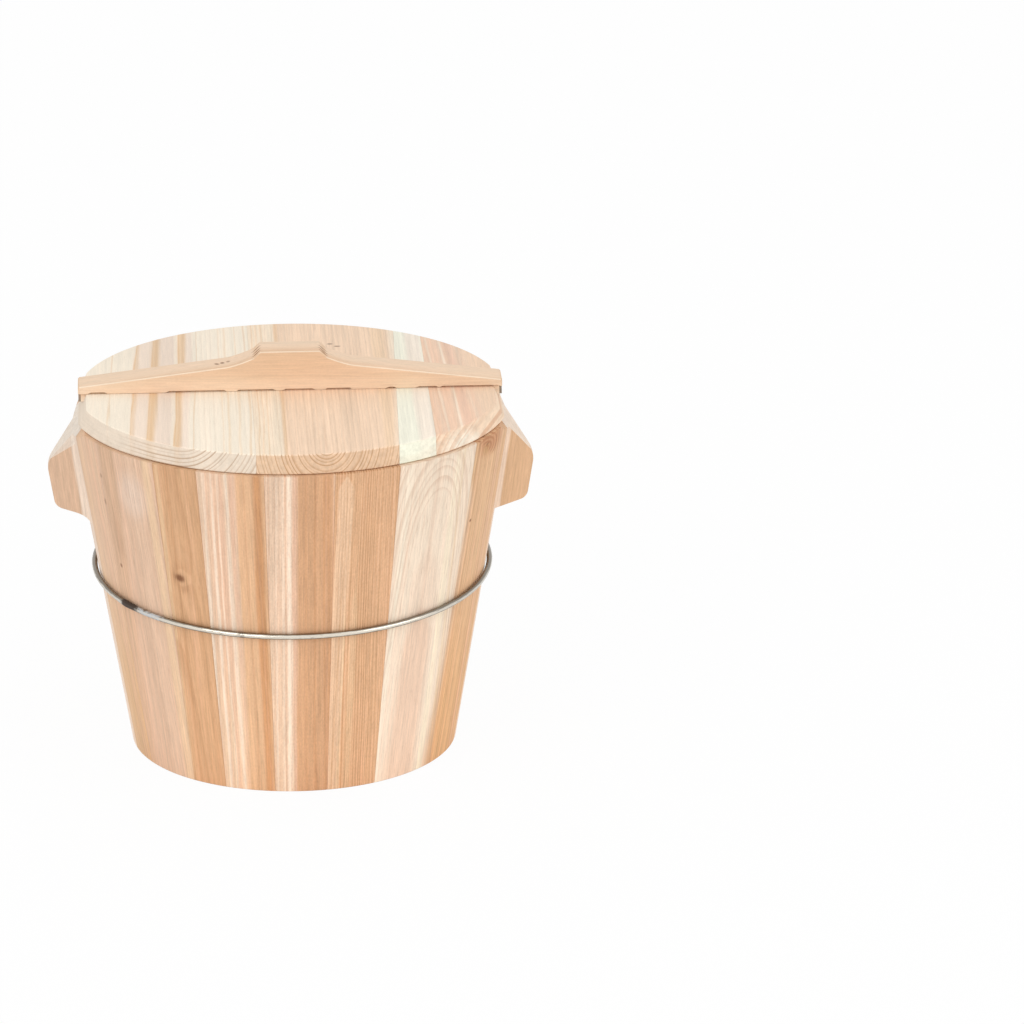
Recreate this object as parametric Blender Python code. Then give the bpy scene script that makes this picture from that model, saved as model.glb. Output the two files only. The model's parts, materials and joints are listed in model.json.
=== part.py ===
"""Coopered wooden rice steamer: a tapered stave bucket with two carved lugs, one wire hoop,
a plank lid on a sliding-dovetail batten, and a slatted steaming grate that rests on pegs."""
import math

import bmesh
import bpy
from mathutils import Matrix, Vector

# Lengths are metres. Angles are degrees round the axis, 0 at the front (-Y), positive towards +X.

# Bucket
BODY_HEIGHT = 0.2575
BASE_RADIUS = 0.1205
RIM_RADIUS = 0.163
WALL = 0.015
EDGE_EASE = 0.0012
ARC_STEP = 4.5
GAP = 0.0003
HANDLE_ANGLE = 90.0
HANDLE_HALF_WIDTH = 13.0
FRONT_JOINTS = (-77.0, -62.5, -39.1, -26.2, -8.3, 9.7, 27.3, 54.0, 77.0)
BACK_JOINTS = (103.0, 123.0, 141.5, 160.0, 179.0, 198.0, 217.5, 237.0, 257.0)

# Carved lug of a handle stave: side view as distance from the axis and height
LUG_ROOT_DEPTH = 0.008
LUG_BROW = (0.1786, 0.2192)
LUG_NOSE = (0.1787, 0.2130)
LUG_CHIN = (0.1745, 0.1885)
LUG_CHIN_CUT = (0.1712, 0.1843)
LUG_ROOT_TOP_Z = 0.2520
# One sloping saw cut makes the top of the lug and runs on through the rim; fall per outward metre
TOP_CUT_FALL = 1.373
# Three points of the plane that tapers each side of the lug
LUG_SIDE_PLANE = ((0.1545, 0.0300, 0.2528), (0.1785, 0.0040, 0.2200), (0.1546, 0.0240, 0.1843))
LUG_ROUNDING = 0.0024

# Wire hoop: a flat ring that sits lower at the front, tight there and at the back, loose at the sides
HOOP_FRONT_HEIGHT = 0.1295
HOOP_TILT = 3.4
HOOP_SIDE_PLAY = 0.0010
WIRE_RADIUS = 0.0021
HOOP_STEPS = 80
WIRE_SIDES = 8
WELD_ANGLE = -57.0
WELD_HALF_WIDTH = 3.0
WELD_SWELL = 0.0003

# Lid
LID_RADIUS = 0.160
LID_TOP_RADIUS = 0.1555
LID_THICKNESS = 0.0137
LID_SEGMENTS = 96
# Joint lines as x on the middle line, and how far each drifts in x per metre of y
LID_JOINTS = (-0.0286, 0.0778, 0.1010)
LID_JOINT_SLANTS = (0.0, 0.028, 0.0)
# The lid is trimmed straight, on a slant, below each end of the batten
LID_FLAT_BOTTOM = 0.1553
LID_FLAT_TOP = 0.1490

# Lid batten and its sliding dovetail
BATTEN_HALF_LENGTH = 0.1553
BATTEN_FRONT = -0.0090
BATTEN_BACK = 0.0165
BATTEN_END_HEIGHT = 0.0057
BATTEN_SHOULDER_HEIGHT = 0.0186
BATTEN_SHOULDER_X = 0.0485
GRIP_HALF_LENGTH = 0.0217
GRIP_HEIGHT = 0.0302
GRIP_CUT_X = 0.0267
GRIP_CUT_HEIGHT = 0.0254
GRIP_CURVE_POWER = 1.4
GRIP_CURVE_STEPS = 6
BATTEN_CHAMFER = 0.0012
DOVETAIL_DEPTH = 0.0055
DOVETAIL_NECK = 0.0190
DOVETAIL_FOOT = 0.0240
TONGUE_HALF_LENGTH = 0.1547

# Bamboo pins
PIN_RADIUS = 0.0025
STAVE_PIN_LENGTH = 0.024
LID_PIN_LENGTH = 0.016
PIN_TIP = 0.0008
PIN_SIDES = 10
STAVE_PIN_HEIGHT = 0.085
LID_PIN_Y = -0.070

# Steaming grate and its pegs
GRATE_RADIUS = 0.1085
GRATE_UNDERSIDE = 0.040
SLAT_THICKNESS = 0.010
SLAT_COUNT = 7
SLAT_GAP = 0.0035
BEARER_WIDTH = 0.020
BEARER_THICKNESS = 0.012
BEARER_X = 0.055
GRATE_SEGMENTS = 60
PEG_RADIUS = 0.004
PEG_LENGTH = 0.022
PEG_DEPTH = 0.010
PEG_ANGLES = (69.0, 111.0, 249.0, 291.0)

# Colours, linear RGB
STAVE_COLOURS = (
    (0.60, 0.37, 0.20), (0.62, 0.42, 0.28), (0.52, 0.31, 0.15), (0.68, 0.47, 0.31),
    (0.66, 0.43, 0.26), (0.50, 0.29, 0.15), (0.74, 0.56, 0.38), (0.58, 0.34, 0.17),
)
HANDLE_COLOUR = (0.62, 0.40, 0.23)
PLANK_COLOURS = ((0.72, 0.52, 0.32), (0.64, 0.42, 0.23), (0.74, 0.55, 0.37), (0.70, 0.48, 0.30))
BATTEN_COLOUR = (0.62, 0.39, 0.21)
BAMBOO_COLOUR = (0.66, 0.50, 0.26)
GRATE_COLOUR = (0.68, 0.47, 0.28)
STEEL_COLOUR = (0.55, 0.56, 0.56)
WOOD_ROUGHNESS = 0.62
STEEL_ROUGHNESS = 0.30

LID_BOTTOM = BODY_HEIGHT + GAP
LID_TOP = LID_BOTTOM + LID_THICKNESS
WALL_SLOPE = (RIM_RADIUS - BASE_RADIUS) / BODY_HEIGHT


def clear_scene():
    for item in list(bpy.data.objects):
        bpy.data.objects.remove(item, do_unlink=True)


def wall_radius(z):
    return BASE_RADIUS + WALL_SLOPE * z


def polar(angle, radius, z):
    turn = math.radians(angle)
    return Vector((radius * math.sin(turn), -radius * math.cos(turn), z))


def wood(name, colour):
    return material(name, colour, WOOD_ROUGHNESS, 0.0)


def material(name, colour, roughness, metallic):
    made = bpy.data.materials.new(name)
    made.use_nodes = True
    shader = made.node_tree.nodes["Principled BSDF"]
    shader.inputs["Base Color"].default_value = (*colour, 1.0)
    shader.inputs["Roughness"].default_value = roughness
    shader.inputs["Metallic"].default_value = metallic
    return made


def pivot(name, place):
    """An empty on a moving group's joint axis."""
    empty = bpy.data.objects.new(name, None)
    empty.location = place
    bpy.context.collection.objects.link(empty)
    return empty


def add_object(name, shape, finish=None, parent=None, smooth_angle=35.0):
    """Links a bmesh, given in world places, as a named object."""
    bmesh.ops.recalc_face_normals(shape, faces=shape.faces)
    if parent:
        bmesh.ops.translate(shape, verts=shape.verts, vec=-Vector(parent.location))
    mesh = bpy.data.meshes.new(name)
    shape.to_mesh(mesh)
    shape.free()
    mesh.shade_smooth()
    mesh.set_sharp_from_angle(angle=math.radians(smooth_angle))
    made = bpy.data.objects.new(name, mesh)
    if finish:
        mesh.materials.append(finish)
    made.parent = parent
    bpy.context.collection.objects.link(made)
    return made


def add_cutter(name, shape):
    cutter = add_object(name, shape)
    cutter.hide_render = True
    cutter.display_type = "WIRE"
    return cutter


def combine(target, other, operation):
    boolean = target.modifiers.new(other.name, "BOOLEAN")
    boolean.operation = operation
    boolean.solver = "EXACT"
    boolean.object = other


def prism(shape, outline, depth):
    """Extrudes an outline, a list of points, along a vector."""
    face = shape.faces.new([shape.verts.new(point) for point in outline])
    grown = bmesh.ops.extrude_face_region(shape, geom=[face])
    moved = [item for item in grown["geom"] if isinstance(item, bmesh.types.BMVert)]
    bmesh.ops.translate(shape, verts=moved, vec=depth)


def rod(shape, centre, direction, radius, length, sides, tip=0.0):
    """A round rod with chamfered ends, centred on a point."""
    turn = Vector((0, 0, 1)).rotation_difference(direction).to_matrix().to_4x4()
    place = Matrix.Translation(centre) @ turn
    half = length / 2
    stations = [(-half, radius - tip), (half, radius - tip)]
    if tip:
        stations[1:1] = [(-half + tip, radius), (half - tip, radius)]
    rings = []
    for z, reach in stations:
        corners = [math.tau * i / sides for i in range(sides)]
        points = [place @ Vector((reach * math.cos(c), reach * math.sin(c), z)) for c in corners]
        rings.append([shape.verts.new(point) for point in points])
    for low, high in zip(rings, rings[1:]):
        for i in range(sides):
            j = (i + 1) % sides
            shape.faces.new((low[i], low[j], high[j], high[i]))
    shape.faces.new(rings[0][::-1])
    shape.faces.new(rings[-1])


def cone_board(low_radius, high_radius, low, high, segments):
    """A round board with a straight bevelled edge."""
    shape = bmesh.new()
    middle = Matrix.Translation((0, 0, (low + high) / 2))
    bmesh.ops.create_cone(shape, cap_ends=True, segments=segments, radius1=low_radius,
                          radius2=high_radius, depth=high - low, matrix=middle)
    return shape


def saw(shape, point, outward):
    """Cuts a board on a plane, drops what lies beyond it and closes the sawn face."""
    everything = shape.verts[:] + shape.edges[:] + shape.faces[:]
    cut = bmesh.ops.bisect_plane(shape, geom=everything, plane_co=point, plane_no=outward, clear_outer=True)
    edges = [item for item in cut["geom_cut"] if isinstance(item, bmesh.types.BMEdge)]
    bmesh.ops.holes_fill(shape, edges=edges)


# Staves

def stave_shape(start, end):
    shape = bmesh.new()
    count = max(3, round((end - start) / ARC_STEP))
    levels = [(0.0, EDGE_EASE), (EDGE_EASE, 0.0)]
    levels += [(BODY_HEIGHT - z, ease) for z, ease in levels[::-1]]
    rings = []
    for z, ease in levels:
        pair = []
        for radius in (wall_radius(z) - ease, wall_radius(z) - WALL + ease):
            inset = math.degrees(math.asin(GAP / 2 / radius))
            sweep = end - start - 2 * inset
            angles = [start + inset + sweep * i / count for i in range(count + 1)]
            pair.append([shape.verts.new(polar(angle, radius, z)) for angle in angles])
        rings.append(pair)
    for (outer, inner), (outer_up, inner_up) in zip(rings, rings[1:]):
        for i in range(count):
            shape.faces.new((outer[i], outer[i + 1], outer_up[i + 1], outer_up[i]))
            shape.faces.new((inner[i], inner_up[i], inner_up[i + 1], inner[i + 1]))
        shape.faces.new((outer[0], outer_up[0], inner_up[0], inner[0]))
        shape.faces.new((outer[-1], inner[-1], inner_up[-1], outer_up[-1]))
    for outer, inner in (rings[0], rings[-1]):
        for i in range(count):
            shape.faces.new((outer[i], inner[i], inner[i + 1], outer[i + 1]))
    return shape


def cut_top(shape, side):
    """Saws off whatever stands above the sloping cut on one side of the bucket."""
    radius, height = LUG_BROW
    saw(shape, (side * radius, 0, height), (side * TOP_CUT_FALL, 0, 1))


def lug_shape(side):
    """The carved lug: a sawn side view, tapered by one slanting cut on each flank, edges eased."""
    shape = bmesh.new()
    root_rise = LUG_ROOT_TOP_Z - LUG_BROW[1]
    side_view = (
        (LUG_BROW[0] - root_rise / TOP_CUT_FALL - GAP, LUG_ROOT_TOP_Z),
        LUG_BROW, LUG_NOSE, LUG_CHIN, LUG_CHIN_CUT,
        (wall_radius(LUG_CHIN_CUT[1]) - LUG_ROOT_DEPTH, LUG_CHIN_CUT[1]),
    )
    reach = RIM_RADIUS * math.sin(math.radians(HANDLE_HALF_WIDTH))
    prism(shape, [(x, -reach, z) for x, z in side_view], (0, 2 * reach, 0))
    root, brow, throat = [Vector(point) for point in LUG_SIDE_PLANE]
    normal = (brow - root).cross(throat - root).normalized()
    joint_normal = polar(HANDLE_ANGLE + HANDLE_HALF_WIDTH + 90.0, 1.0, 0.0)
    for flank in (1, -1):
        mirror = Vector((1, flank, 1))
        saw(shape, root * mirror, normal * mirror)
        saw(shape, -GAP * joint_normal * mirror, joint_normal * mirror)
    bmesh.ops.bevel(shape, geom=shape.edges[:], offset=LUG_ROUNDING, segments=2, profile=0.5,
                    affect="EDGES", clamp_overlap=True)
    if side < 0:
        bmesh.ops.rotate(shape, verts=shape.verts, matrix=Matrix.Rotation(math.pi, 3, "Z"))
    return shape


def stave_pin_rods(shape, angle, radius, length, tip):
    middle = wall_radius(STAVE_PIN_HEIGHT) - WALL / 2
    across = polar(angle + 90.0, 1.0, 0.0)
    rod(shape, polar(angle, middle, STAVE_PIN_HEIGHT), across, radius, length, PIN_SIDES, tip)


def peg_rod(shape, angle, radius, length, middle, tip=0.0):
    height = GRATE_UNDERSIDE - GAP - PEG_RADIUS
    rod(shape, polar(angle, middle, height), polar(angle, 1.0, 0.0), radius, length, PIN_SIDES, tip)


def peg_middle():
    """Middle of a peg, which is driven into the wall from inside."""
    inner_wall = wall_radius(GRATE_UNDERSIDE) - WALL
    return inner_wall + PEG_DEPTH - PEG_LENGTH / 2


def build_bucket():
    joints = list(FRONT_JOINTS) + list(BACK_JOINTS)
    holes = bmesh.new()
    for angle in joints:
        stave_pin_rods(holes, angle, PIN_RADIUS + GAP, STAVE_PIN_LENGTH + 2 * GAP, 0.0)
    for angle in PEG_ANGLES:
        peg_rod(holes, angle, PEG_RADIUS + GAP, PEG_LENGTH + 2 * GAP, peg_middle())
    holes = add_cutter("stave_holes_cutter", holes)

    rows = (("front", FRONT_JOINTS, STAVE_COLOURS), ("back", BACK_JOINTS, STAVE_COLOURS[::-1]))
    for row, edges, colours in rows:
        for number, (start, end) in enumerate(zip(edges, edges[1:]), 1):
            name = f"{row}_stave_{number}"
            shape = stave_shape(start, end)
            for side in (-1, 1):
                cut_top(shape, side)
            stave = add_object(name, shape, wood(name, colours[number - 1]))
            combine(stave, holes, "DIFFERENCE")

    for side, word in ((-1, "left"), (1, "right")):
        name = f"{word}_handle_stave"
        middle = side * HANDLE_ANGLE
        shape = stave_shape(middle - HANDLE_HALF_WIDTH, middle + HANDLE_HALF_WIDTH)
        cut_top(shape, side)
        stave = add_object(name, shape, wood(name, HANDLE_COLOUR))
        combine(stave, add_cutter(f"{word}_lug_blank", lug_shape(side)), "UNION")
        combine(stave, holes, "DIFFERENCE")

    for number, angle in enumerate(joints, 1):
        name = f"stave_pin_{number}"
        shape = bmesh.new()
        stave_pin_rods(shape, angle, PIN_RADIUS, STAVE_PIN_LENGTH, PIN_TIP)
        add_object(name, shape, wood(name, BAMBOO_COLOUR))

    for number, angle in enumerate(PEG_ANGLES, 1):
        name = f"grate_peg_{number}"
        shape = bmesh.new()
        peg_rod(shape, angle, PEG_RADIUS, PEG_LENGTH, peg_middle(), PIN_TIP)
        add_object(name, shape, wood(name, BAMBOO_COLOUR))


# Wire hoop

def build_hoop():
    """A closed ring of round wire, swollen a little where its ends are butt welded."""
    shape = bmesh.new()
    tilt = math.radians(HOOP_TILT)
    front = wall_radius(HOOP_FRONT_HEIGHT) + (WIRE_RADIUS + GAP) / math.cos(math.atan(WALL_SLOPE))
    reach = front / (math.cos(tilt) - WALL_SLOPE * math.sin(tilt))
    centre = Vector((0, reach * math.cos(tilt) - front, HOOP_FRONT_HEIGHT + reach * math.sin(tilt)))
    place = Matrix.Translation(centre) @ Matrix.Rotation(tilt, 4, "X")
    rings = []
    for step in range(HOOP_STEPS):
        angle = 360.0 * step / HOOP_STEPS
        away = (angle - WELD_ANGLE + 180.0) % 360.0 - 180.0
        swell = WELD_SWELL * math.exp(-(away / WELD_HALF_WIDTH) ** 2)
        wire = WIRE_RADIUS + swell
        middle = reach + swell + HOOP_SIDE_PLAY * math.sin(math.radians(angle)) ** 2
        ring = []
        for side in range(WIRE_SIDES):
            turn = math.tau * (side + 0.5) / WIRE_SIDES
            point = polar(angle, middle + wire * math.cos(turn), wire * math.sin(turn))
            ring.append(shape.verts.new(place @ point))
        rings.append(ring)
    for ring, following in zip(rings, rings[1:] + rings[:1]):
        for i in range(WIRE_SIDES):
            j = (i + 1) % WIRE_SIDES
            shape.faces.new((ring[i], following[i], following[j], ring[j]))
    steel = material("wire_hoop", STEEL_COLOUR, STEEL_ROUGHNESS, 1.0)
    add_object("wire_hoop", shape, steel, smooth_angle=60.0)


# Lid

def dovetail_outline(x, clearance, top):
    """Section of the dovetail at one x, from its foot up to a given height."""
    foot = DOVETAIL_FOOT / 2 + clearance
    neck = DOVETAIL_NECK / 2 + clearance
    bottom = LID_TOP - DOVETAIL_DEPTH - clearance
    middle = (BATTEN_FRONT + BATTEN_BACK) / 2
    half = [(foot, bottom), (neck, LID_TOP), (neck, top)]
    around = [(-y, z) for y, z in half[:1]] + half + [(-y, z) for y, z in half[:0:-1]]
    return [(x, middle + y, z) for y, z in around]


def grip_outline():
    """Half of the batten's front view, from the middle of the grip out to the end."""
    points = [(0.0, GRIP_HEIGHT), (GRIP_HALF_LENGTH, GRIP_HEIGHT)]
    for step in range(GRIP_CURVE_STEPS + 1):
        part = step / GRIP_CURVE_STEPS
        x = GRIP_CUT_X + (BATTEN_SHOULDER_X - GRIP_CUT_X) * part
        rise = (GRIP_CUT_HEIGHT - BATTEN_SHOULDER_HEIGHT) * (1.0 - part) ** GRIP_CURVE_POWER
        points.append((x, BATTEN_SHOULDER_HEIGHT + rise))
    points.append((BATTEN_HALF_LENGTH, BATTEN_END_HEIGHT))
    return points


def batten_shape():
    """The batten above the lid: its front view lofted with chamfered long edges."""
    shape = bmesh.new()
    right = grip_outline()
    stations = [(-x, height) for x, height in right[:0:-1]] + right
    seat = LID_TOP + GAP
    front, back = BATTEN_FRONT, BATTEN_BACK
    sections = []
    for x, height in stations:
        top = LID_TOP + height
        outline = [(front, seat), (front, top - BATTEN_CHAMFER), (front + BATTEN_CHAMFER, top),
                   (back - BATTEN_CHAMFER, top), (back, top - BATTEN_CHAMFER), (back, seat)]
        sections.append([shape.verts.new((x, y, z)) for y, z in outline])
    for one, two in zip(sections, sections[1:]):
        for i in range(len(one)):
            j = (i + 1) % len(one)
            shape.faces.new((one[i], two[i], two[j], one[j]))
    shape.faces.new(sections[0])
    shape.faces.new(sections[-1][::-1])
    return shape


def lid_pin_rods(shape, x, radius, length, tip):
    middle = (LID_BOTTOM + LID_TOP) / 2
    rod(shape, Vector((x, LID_PIN_Y, middle)), Vector((1, 0, 0)), radius, length, PIN_SIDES, tip)


def build_lid():
    lift = pivot("lid_lift_axis", (0, 0, LID_BOTTOM))

    groove = bmesh.new()
    reach = LID_RADIUS + WALL
    prism(groove, dovetail_outline(-reach, GAP, LID_TOP + WALL), (2 * reach, 0, 0))
    groove = add_cutter("dovetail_groove_cutter", groove)
    holes = bmesh.new()
    for x, slant in zip(LID_JOINTS, LID_JOINT_SLANTS):
        lid_pin_rods(holes, x + slant * LID_PIN_Y, PIN_RADIUS + GAP, LID_PIN_LENGTH + 2 * GAP, 0.0)
    holes = add_cutter("lid_holes_cutter", holes)

    edges = [(-LID_RADIUS, 0.0), *zip(LID_JOINTS, LID_JOINT_SLANTS), (LID_RADIUS, 0.0)]
    for number, (left, right) in enumerate(zip(edges, edges[1:]), 1):
        name = f"lid_plank_{number}"
        shape = cone_board(LID_RADIUS, LID_TOP_RADIUS, LID_BOTTOM, LID_TOP, LID_SEGMENTS)
        for (end, slant), side in ((left, -1), (right, 1)):
            if abs(end) < LID_RADIUS:
                saw(shape, (end - side * GAP / 2, 0, 0), (side, -side * slant, 0))
            else:
                trim = (side * LID_THICKNESS, 0, LID_FLAT_BOTTOM - LID_FLAT_TOP)
                saw(shape, (side * LID_FLAT_BOTTOM, 0, LID_BOTTOM), trim)
        plank = add_object(name, shape, wood(name, PLANK_COLOURS[number - 1]), lift)
        combine(plank, groove, "DIFFERENCE")
        combine(plank, holes, "DIFFERENCE")

    batten = add_object("lid_batten", batten_shape(), wood("lid_batten", BATTEN_COLOUR), lift)
    tongue = bmesh.new()
    sunk = LID_TOP + BATTEN_END_HEIGHT / 2
    prism(tongue, dovetail_outline(-TONGUE_HALF_LENGTH, 0.0, sunk), (2 * TONGUE_HALF_LENGTH, 0, 0))
    combine(batten, add_cutter("dovetail_tongue", tongue), "UNION")

    for number, (x, slant) in enumerate(zip(LID_JOINTS, LID_JOINT_SLANTS), 1):
        name = f"lid_pin_{number}"
        shape = bmesh.new()
        lid_pin_rods(shape, x + slant * LID_PIN_Y, PIN_RADIUS, LID_PIN_LENGTH, PIN_TIP)
        add_object(name, shape, wood(name, BAMBOO_COLOUR), lift)


# Steaming grate

def build_grate():
    lift = pivot("grate_lift_axis", (0, 0, GRATE_UNDERSIDE))
    top = GRATE_UNDERSIDE + SLAT_THICKNESS
    rim = GRATE_RADIUS + WALL_SLOPE * SLAT_THICKNESS
    pitch = 2 * GRATE_RADIUS / SLAT_COUNT
    for number in range(1, SLAT_COUNT + 1):
        name = f"grate_slat_{number}"
        near = -GRATE_RADIUS + pitch * (number - 1)
        shape = cone_board(GRATE_RADIUS, rim, GRATE_UNDERSIDE, top, GRATE_SEGMENTS)
        if number > 1:
            saw(shape, (0, near + SLAT_GAP / 2, 0), (0, -1, 0))
        if number < SLAT_COUNT:
            saw(shape, (0, near + pitch - SLAT_GAP / 2, 0), (0, 1, 0))
        add_object(name, shape, wood(name, GRATE_COLOUR), lift)

    low = GRATE_UNDERSIDE - GAP - BEARER_THICKNESS
    inner = GRATE_RADIUS - WALL_SLOPE * BEARER_THICKNESS
    for x, word in ((-BEARER_X, "left"), (BEARER_X, "right")):
        name = f"grate_bearer_{word}"
        shape = cone_board(inner, GRATE_RADIUS, low, GRATE_UNDERSIDE - GAP, GRATE_SEGMENTS)
        saw(shape, (x - BEARER_WIDTH / 2, 0, 0), (-1, 0, 0))
        saw(shape, (x + BEARER_WIDTH / 2, 0, 0), (1, 0, 0))
        add_object(name, shape, wood(name, GRATE_COLOUR), lift)


clear_scene()
build_bucket()
build_hoop()
build_lid()
build_grate()
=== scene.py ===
import json
import math
import random

import bmesh
import bpy
from mathutils import Matrix, Vector


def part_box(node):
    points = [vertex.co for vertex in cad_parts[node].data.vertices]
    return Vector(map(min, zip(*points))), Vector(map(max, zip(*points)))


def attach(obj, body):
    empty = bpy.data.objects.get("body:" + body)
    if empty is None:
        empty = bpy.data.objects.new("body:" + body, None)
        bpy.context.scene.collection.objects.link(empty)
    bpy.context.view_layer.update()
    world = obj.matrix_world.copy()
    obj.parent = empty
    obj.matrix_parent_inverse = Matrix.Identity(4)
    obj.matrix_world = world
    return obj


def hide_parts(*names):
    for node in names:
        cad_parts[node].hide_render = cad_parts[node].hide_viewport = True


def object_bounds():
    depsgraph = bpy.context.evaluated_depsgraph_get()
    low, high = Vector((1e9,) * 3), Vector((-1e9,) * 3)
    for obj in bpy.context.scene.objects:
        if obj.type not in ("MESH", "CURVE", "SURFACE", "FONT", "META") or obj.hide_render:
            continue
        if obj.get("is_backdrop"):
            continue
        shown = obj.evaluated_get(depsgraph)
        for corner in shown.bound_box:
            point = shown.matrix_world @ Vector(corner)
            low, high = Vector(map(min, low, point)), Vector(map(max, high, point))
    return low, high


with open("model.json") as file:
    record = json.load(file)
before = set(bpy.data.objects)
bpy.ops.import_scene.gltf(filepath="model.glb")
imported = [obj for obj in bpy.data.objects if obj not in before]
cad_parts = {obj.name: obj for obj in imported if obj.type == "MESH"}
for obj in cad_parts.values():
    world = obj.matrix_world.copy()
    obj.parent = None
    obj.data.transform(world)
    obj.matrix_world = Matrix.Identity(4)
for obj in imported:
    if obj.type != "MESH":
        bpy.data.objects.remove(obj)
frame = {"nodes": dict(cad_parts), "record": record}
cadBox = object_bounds()
slotOf = {row["node"]: row["material_slot"] for row in frame["record"]["subparts"]}
bodyOf = {node: body for body, nodes in frame["record"]["behaviour"]["bodies"].items() for node in nodes}
print("frame: %d nodes" % len(frame["nodes"]))

# sizes that several pieces share, in metres
bucket = {
    "height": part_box("front_stave_5")[1].z,
    "baseRadius": 0.1205,
    "rimRadius": 0.163,
    "wall": 0.015,
    "ease": 0.0013,        # rounding of rim and base edges
    "jointEase": 0.00022,  # rounding of the long joint edges
    "jointGap": 0.00008,
    "arcStep": 1.25,       # degrees
    "rows": 8,             # rows of faces up the wall
    "handleHalf": 13.0,    # degrees
    "crisp": 25.0,         # edges sharper than this, in degrees, aren't smoothed over, on the lid too
}
wallSlope = (bucket["rimRadius"] - bucket["baseRadius"]) / bucket["height"]
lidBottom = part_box("lid_plank_1")[0].z
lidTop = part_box("lid_plank_1")[1].z
xAxis = Vector((1, 0, 0))
yAxis = Vector((0, 1, 0))
zAxis = Vector((0, 0, 1))


def wallRadius(z):
    return bucket["baseRadius"] + wallSlope * z


def polar(angle, radius, z):  # 0 degrees faces the front, positive turns to +X
    turn = math.radians(angle)
    return Vector((radius * math.sin(turn), -radius * math.cos(turn), z))


def tone(red, green, blue):  # screen colour, 0 to 255, as the shader wants it
    def plain(value):
        value /= 255
        return value / 12.92 if value <= 0.04045 else ((value + 0.055) / 1.055) ** 2.4
    return (plain(red), plain(green), plain(blue), 1.0)


class Sock:  # one socket of a node tree, so that shader maths reads as Python
    def __init__(self, tree, plug=None):
        self.tree = tree
        self.plug = plug

    def make(self, kind, settings=None, sockets=None, out=0):  # any node: settings first, then sockets
        node = self.tree.nodes.new("ShaderNode" + kind)
        for name, value in (settings or {}).items():
            setattr(node, name, value)
        for key, value in (sockets or {}).items():
            if isinstance(value, Sock):
                self.tree.links.new(value.plug, node.inputs[key])
            else:
                node.inputs[key].default_value = value
        return Sock(self.tree, node.outputs[out] if node.outputs else None)

    def math(self, operation, *values):
        return self.make("Math", {"operation": operation}, dict(enumerate(values)))

    def __add__(self, other):
        return self.math("ADD", self, other)

    def __sub__(self, other):
        return self.math("SUBTRACT", self, other)

    def __rsub__(self, other):
        return self.math("SUBTRACT", other, self)

    def __mul__(self, other):
        return self.math("MULTIPLY", self, other)

    def __truediv__(self, other):
        return self.math("DIVIDE", self, other)

    def __pow__(self, other):
        return self.math("POWER", self, other)

    __radd__ = __add__
    __rmul__ = __mul__

    def step(self, low, high):  # smooth 0 to 1 between two values, either way up
        sockets = {"Value": self, "From Min": low, "From Max": high}
        return self.make("MapRange", {"interpolation_type": "SMOOTHSTEP"}, sockets)

    def dot(self, vector):
        return self.make("VectorMath", {"operation": "DOT_PRODUCT"}, {0: self, 1: vector}, out=1)

    def less(self, vector):
        return self.make("VectorMath", {"operation": "SUBTRACT"}, {0: self, 1: vector})

    def scaled(self, value):
        return self.make("VectorMath", {"operation": "SCALE"}, {0: self, "Scale": value})

    def mix(self, tint, share):  # colours only
        return self.make("Mix", {"data_type": "RGBA"}, {0: share, 6: self, 7: tone(*tint)}, out=2)

    def colour(self, tint):  # a ground to mix others into
        return self.make("Mix", {"data_type": "RGBA"}, {0: 0.0, 6: tone(*tint), 7: tone(*tint)}, out=2)


def newFinish(name):
    finish = bpy.data.materials.new(name)
    finish.use_nodes = True
    finish.node_tree.nodes.clear()
    return finish, Sock(finish.node_tree)


def closeFinish(start, sockets):
    shader = start.make("BsdfPrincipled", {}, sockets)
    start.make("OutputMaterial", {}, {"Surface": shader})


# wood: growth rings round a pith line, cut open by the piece's own surface, with strips of other tone
woodBase = {
    "early": (236, 204, 176), "heart": (220, 178, 140), "late": (196, 146, 104), "blush": (226, 180, 152),
    "heartSpan": (0.0, 0.001),  # rings inside the first radius are heartwood, past the second sapwood
    "pith": (0.0, -0.03), "lean": (0.0, 0.0),     # across and in depth
    "bend": (0.06, 0.0),        # from this far up the rings turn away, at this rate
    "sway": 0.004,
    "ring": 0.0024, "lateSpan": (0.25, 0.86), "contrast": 0.3,
    "core": 0.0,                # no ring lines nearer to the pith than this
    "leftSide": 1.0,            # how much the rings curve on the left of the pith
    "drift": 0.22, "streak": 0.46, "fibre": 0.55, "mottle": 0.12, "pore": 0.3, "blushing": 0.25, "paintedShadeUp": 0.0,
    "endTone": (206, 166, 126), "endShare": 0.35, "endLines": 1.2, "endSpan": (0.4, 0.9),
    "bothEnds": True,           # or only faces that look up the grain
    "foot": (226, 176, 118), "footShare": 0.0,    # tone that comes in towards the lower end
    "skirt": (226, 200, 170), "skirtShare": 0.0,  # tone below the top face, on a bevel
    # painted highlight on rounded edges between side and top:
    "chamferHighlight": (252, 236, 214), "chamferHighlightShare": 0.0,
    "bands": (), "spots": (),
    "knots": (),                # along, across, size, how far the rings swerve round it
    "whorls": (),               # along, across, spacing, reach, share: arcs above and beside an eye
    "seed": 0.0,
}
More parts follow.
